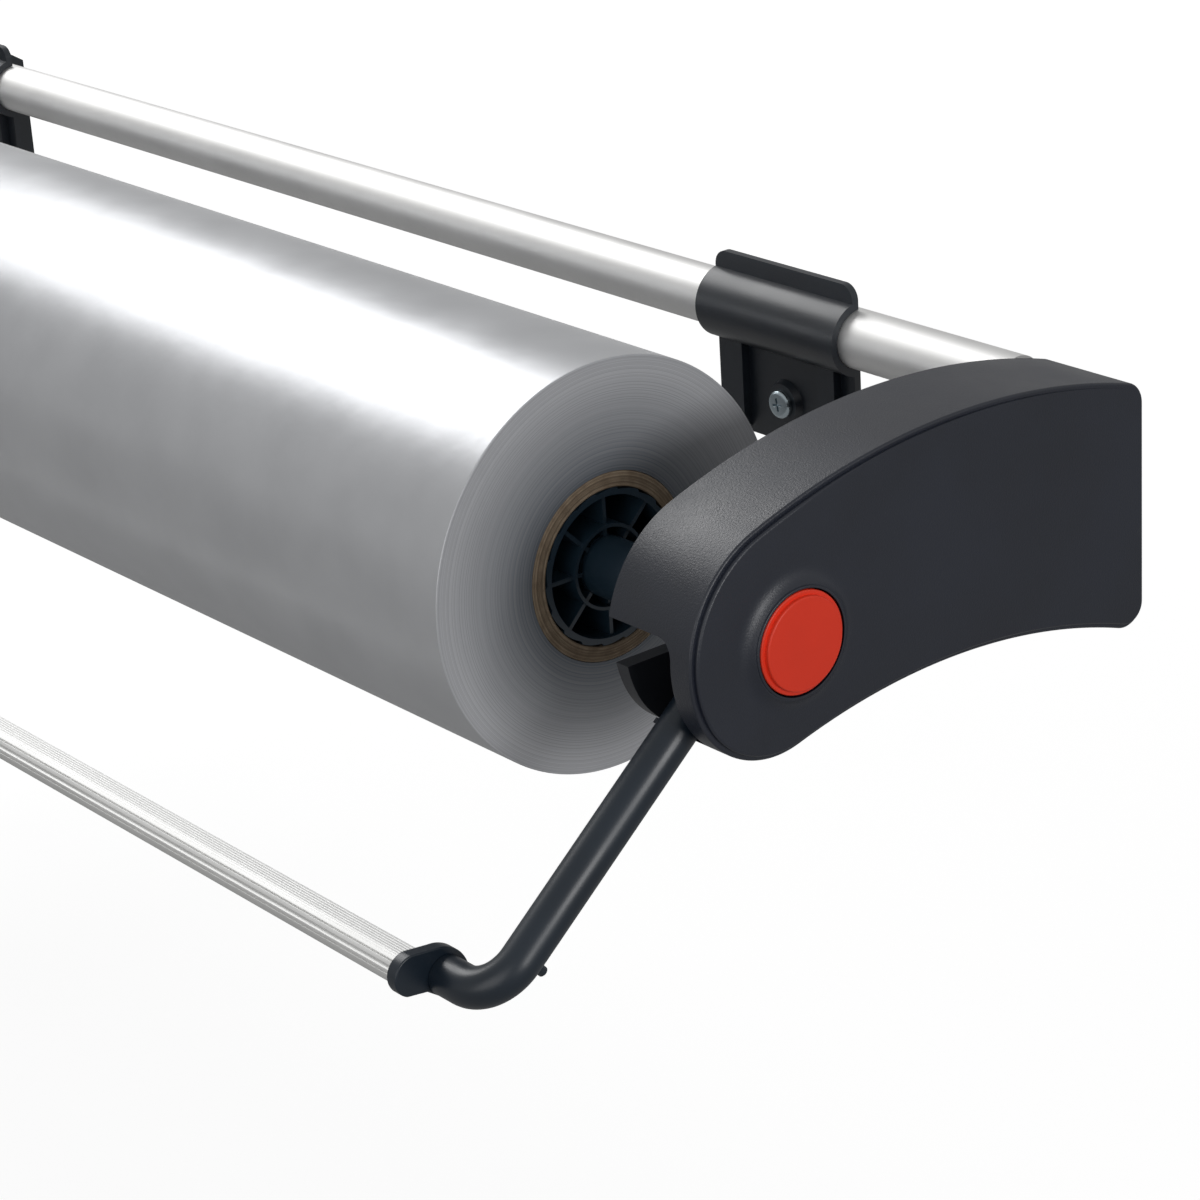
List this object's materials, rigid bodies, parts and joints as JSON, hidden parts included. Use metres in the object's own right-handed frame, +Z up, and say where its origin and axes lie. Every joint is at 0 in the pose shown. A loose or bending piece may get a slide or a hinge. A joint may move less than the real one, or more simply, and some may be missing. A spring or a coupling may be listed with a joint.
{
  "type": "paper roll dispenser",
  "caption": "Wall-hung dispenser for a wide film or paper roll: tube frame, moulded side housings with release buttons, and a tear bar on two swinging arms.",
  "frame": {"origin": "on the wall plane, midway along the roll, at the middle height of the two brackets", "axes": "+X along the roll to the right seen from the front, +Y into the wall, +Z up"},
  "size_m": [1.2666, 0.4049, 0.2446],
  "materials": {
    "cover_plastic": "fine-textured anthracite moulding",
    "bracket_plastic": "satin near-black moulding",
    "inner_plastic": "satin near-black moulding",
    "plug_plastic": "satin blue-black moulding",
    "arm_plastic": "smooth satin blue-black",
    "red_plastic": "satin red moulding",
    "nylon": "natural nylon",
    "anodised_aluminium": "satin anodised, drawn lengthwise",
    "zinc_steel": "bright zinc plate",
    "spring_steel": "oiled spring wire",
    "blade_steel": "ground stainless strip",
    "cardboard": "wound brown board",
    "silver_film": "satin metallised film"
  },
  "bodies": {
    "frame": {"carrier_tube": "anodised_aluminium", "side_cover_right": "cover_plastic", "side_cover_left": "cover_plastic", "inner_plate_right": "inner_plastic", "inner_plate_left": "inner_plastic", "axle_bush_right": "nylon", "axle_bush_left": "nylon", "button_spring_right": "spring_steel", "button_spring_left": "spring_steel", "arm_retainer_right": "spring_steel", "arm_retainer_left": "spring_steel", "tube_screw_right": "zinc_steel", "tube_screw_left": "zinc_steel", "cover_screw_1_right": "zinc_steel", "cover_screw_1_left": "zinc_steel", "cover_screw_2_right": "zinc_steel", "cover_screw_2_left": "zinc_steel", "cover_screw_3_right": "zinc_steel", "cover_screw_3_left": "zinc_steel", "cover_screw_4_right": "zinc_steel", "cover_screw_4_left": "zinc_steel", "clamp_plate_right": "bracket_plastic", "clamp_plate_left": "bracket_plastic", "wall_block_right": "bracket_plastic", "wall_block_left": "bracket_plastic", "clamp_screw_right": "zinc_steel", "clamp_screw_left": "zinc_steel", "clamp_nut_right": "zinc_steel", "clamp_nut_left": "zinc_steel"},
    "cutter": {"cutter_arm_right": "arm_plastic", "cutter_arm_left": "arm_plastic", "stop_peg_right": "arm_plastic", "stop_peg_left": "arm_plastic", "end_cap_right": "arm_plastic", "end_cap_left": "arm_plastic", "cutter_bar": "anodised_aluminium", "saw_blade": "blade_steel"},
    "roll": {"roll_axle": "zinc_steel", "cardboard_core": "cardboard", "paper_roll": "silver_film", "core_plug_right": "plug_plastic", "core_plug_left": "plug_plastic", "spacer_sleeve_right": "plug_plastic", "spacer_sleeve_left": "plug_plastic"},
    "button_right": {"release_button_right": "red_plastic"},
    "button_left": {"release_button_left": "red_plastic"},
    "latch_right": {"axle_latch_right": "nylon"},
    "latch_left": {"axle_latch_left": "nylon"}
  },
  "joints": [
    {"name": "roll_spin", "type": "hinge", "parent": "frame", "child": "roll", "pos_m": [0, -0.2235, -0.033], "axis": [1, 0, 0], "continuous": true},
    {"name": "cutter_swing", "type": "hinge", "parent": "frame", "child": "cutter", "pos_m": [0, -0.2235, -0.033], "axis": [-1, 0, 0], "range_deg": [0, 40]},
    {"name": "button_right_press", "type": "slide", "parent": "frame", "child": "button_right", "axis": [-1, 0, 0], "range_m": [0, 0.006], "stiffness_N_per_m": 600, "springref_m": -0.004, "deforming": ["button_spring_right"]},
    {"name": "button_left_press", "type": "slide", "parent": "frame", "child": "button_left", "axis": [1, 0, 0], "range_m": [0, 0.006], "stiffness_N_per_m": 600, "springref_m": -0.004, "deforming": ["button_spring_left"]},
    {"name": "latch_right_drop", "type": "slide", "parent": "frame", "child": "latch_right", "axis": [0, 0, -1], "range_m": [0, 0.006]},
    {"name": "latch_left_drop", "type": "slide", "parent": "frame", "child": "latch_left", "axis": [0, 0, -1], "range_m": [0, 0.006]}
  ],
  "couplings": [
    {"joint": "latch_right_drop", "follows": "button_right_press", "ratio": 1},
    {"joint": "latch_left_drop", "follows": "button_left_press", "ratio": 1}
  ]
}
